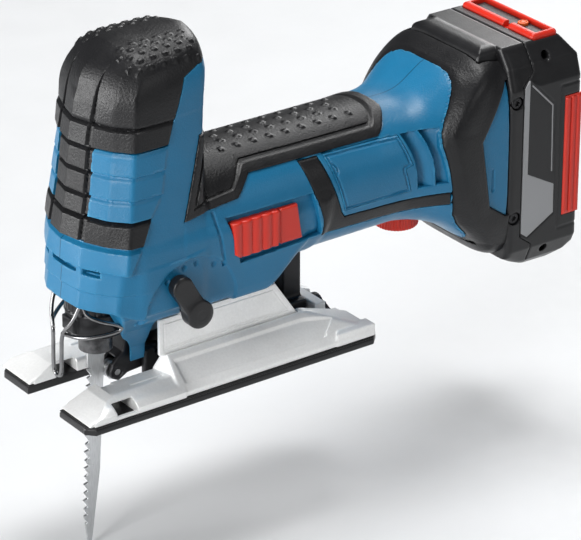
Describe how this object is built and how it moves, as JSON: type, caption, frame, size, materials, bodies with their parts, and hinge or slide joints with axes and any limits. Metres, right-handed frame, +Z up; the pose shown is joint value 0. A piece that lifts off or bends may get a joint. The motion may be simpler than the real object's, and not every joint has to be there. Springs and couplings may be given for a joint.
{
  "type": "cordless jigsaw",
  "caption": "Cordless body-grip jigsaw: upright gear head, barrel grip with slide switch, tilting cast foot with plastic shoe, orbital lever and slide-on battery pack.",
  "frame": {"origin": "where the saw blade's middle plane and the plunger's axis cross the underside of the sole", "axes": "+X back towards the battery, +Y to the tool's right-hand side, +Z up"},
  "size_m": [0.281, 0.0778, 0.2525],
  "materials": {
    "blue_nylon": "fine texture, satin",
    "soft_grip": "matte overmould",
    "black_nylon": "fine texture",
    "red_nylon": "fine texture",
    "orange_nylon": "satin",
    "fastener": "blackened",
    "die_cast": "tumbled die casting",
    "sintered": "oil-filled bronze",
    "steel": "ground",
    "iron": "pressed",
    "magnet": "ferrite",
    "winding": "laminations and enamelled wire",
    "carbon": "pressed carbon",
    "board": "lacquered circuit board",
    "black_steel": "black oxide",
    "blade_steel": "ground and set teeth",
    "cell_wrap": "shrink sleeve",
    "label": "plain printed film"
  },
  "bodies": {
    "housing": {"housing_left": "blue_nylon", "housing_right": "blue_nylon", "head_grip": "soft_grip", "barrel_grip": "soft_grip", "side_bands": "soft_grip", "tail_bumper": "soft_grip", "name_panels": "blue_nylon", "housing_screws": "fastener", "gearbox": "die_cast", "plunger_bushes": "sintered", "gear_shaft": "steel", "motor_can": "steel", "motor_magnets": "magnet", "motor_end_cap": "black_nylon", "motor_bearings": "steel", "brushes": "carbon", "switch_module": "black_nylon", "electronics": "board", "terminal_block": "black_nylon", "ring_spring": "steel", "wire_guard": "black_steel", "pendulum_pin": "steel", "bevel_segment": "die_cast", "bevel_pin": "steel"},
    "drive_gear": {"drive_gear": "steel", "crank_roller": "sintered"},
    "rotor": {"rotor": "winding", "pinion": "steel", "fan": "black_nylon"},
    "counterweight": {"counterweight": "iron"},
    "plunger": {"plunger": "steel", "blade_clamp": "black_steel", "blade": "blade_steel"},
    "clamp_ring": {"clamp_ring": "black_steel"},
    "pendulum": {"pendulum_arm": "black_steel", "roller_axle": "steel"},
    "guide_roller": {"guide_roller": "steel"},
    "orbital_lever": {"orbital_lever": "black_nylon", "orbital_cam": "steel"},
    "switch_slider": {"switch_slider": "red_nylon"},
    "speed_dial": {"speed_dial": "red_nylon"},
    "foot": {"foot_plate": "die_cast", "cradle_walls": "die_cast", "sliding_shoe": "black_nylon"},
    "clamp_screw": {"clamp_screw": "black_steel"},
    "battery": {"pack_shell_front": "black_nylon", "pack_shell_rear": "black_nylon", "pack_cells": "cell_wrap", "pack_holder": "black_nylon", "pack_board": "board", "pack_ribs": "red_nylon", "pack_labels": "label", "pack_screws": "fastener", "release_spring": "steel"},
    "release_button": {"release_button": "red_nylon"},
    "gauge_button": {"gauge_button": "orange_nylon"}
  },
  "joints": [
    {"name": "gear_spin", "type": "hinge", "parent": "housing", "child": "drive_gear", "pos_m": [0.02, 0, 0.097], "axis": [1, 0, 0], "continuous": true},
    {"name": "rotor_spin", "type": "hinge", "parent": "housing", "child": "rotor", "pos_m": [0.08, 0, 0.077], "axis": [1, 0, 0], "continuous": true},
    {"name": "plunger_stroke", "type": "slide", "parent": "housing", "child": "plunger", "axis": [0, 0, 1], "range_m": [0, 0.023]},
    {"name": "counterweight_slide", "type": "slide", "parent": "housing", "child": "counterweight", "axis": [0, 0, 1], "range_m": [-0.0115, 0]},
    {"name": "clamp_ring_turn", "type": "hinge", "parent": "housing", "child": "clamp_ring", "pos_m": [0, 0, 0.04], "axis": [0, 0, 1], "range_deg": [0, 40], "stiffness_Nm_per_rad": 0.02, "springref_deg": -17.19},
    {"name": "pendulum_swing", "type": "hinge", "parent": "housing", "child": "pendulum", "pos_m": [0.017, 0, 0.026], "axis": [0, 1, 0], "range_deg": [-5, 0]},
    {"name": "roller_spin", "type": "hinge", "parent": "pendulum", "child": "guide_roller", "pos_m": [0.0082, 0, 0.0085], "axis": [0, 1, 0], "continuous": true},
    {"name": "orbital_lever_turn", "type": "hinge", "parent": "housing", "child": "orbital_lever", "pos_m": [0.0315, -0.03, 0.0445], "axis": [0, 1, 0], "range_deg": [-20, 40]},
    {"name": "switch_slide", "type": "slide", "parent": "housing", "child": "switch_slider", "axis": [1, 0, 0], "range_m": [0, 0.0065]},
    {"name": "speed_dial_turn", "type": "hinge", "parent": "housing", "child": "speed_dial", "pos_m": [0.171, 0, 0.041], "axis": [0, 0, 1], "range_deg": [0, 270]},
    {"name": "foot_bevel", "type": "hinge", "parent": "housing", "child": "foot", "pos_m": [0.06, 0, 0.008], "axis": [1, 0, 0], "range_deg": [-45, 45]},
    {"name": "clamp_screw_turn", "type": "hinge", "parent": "housing", "child": "clamp_screw", "pos_m": [0.115, 0, 0.008], "axis": [1, 0, 0], "range_deg": [0, 180]},
    {"name": "battery_slide", "type": "slide", "parent": "housing", "child": "battery", "axis": [0, 0, 1], "range_m": [0, 0.09]},
    {"name": "release_press", "type": "slide", "parent": "battery", "child": "release_button", "axis": [0, 0, -1], "range_m": [0, 0.0022], "stiffness_N_per_m": 400, "springref_m": -0.002, "deforming": ["release_spring"]},
    {"name": "gauge_press", "type": "slide", "parent": "battery", "child": "gauge_button", "axis": [0, 0, -1], "range_m": [0, 0.0009], "stiffness_N_per_m": 300, "springref_m": -0.001}
  ],
  "couplings": [
    {"joint": "rotor_spin", "follows": "gear_spin", "ratio": -4.5556},
    {"joint": "counterweight_slide", "follows": "plunger_stroke", "ratio": -0.5}
  ]
}
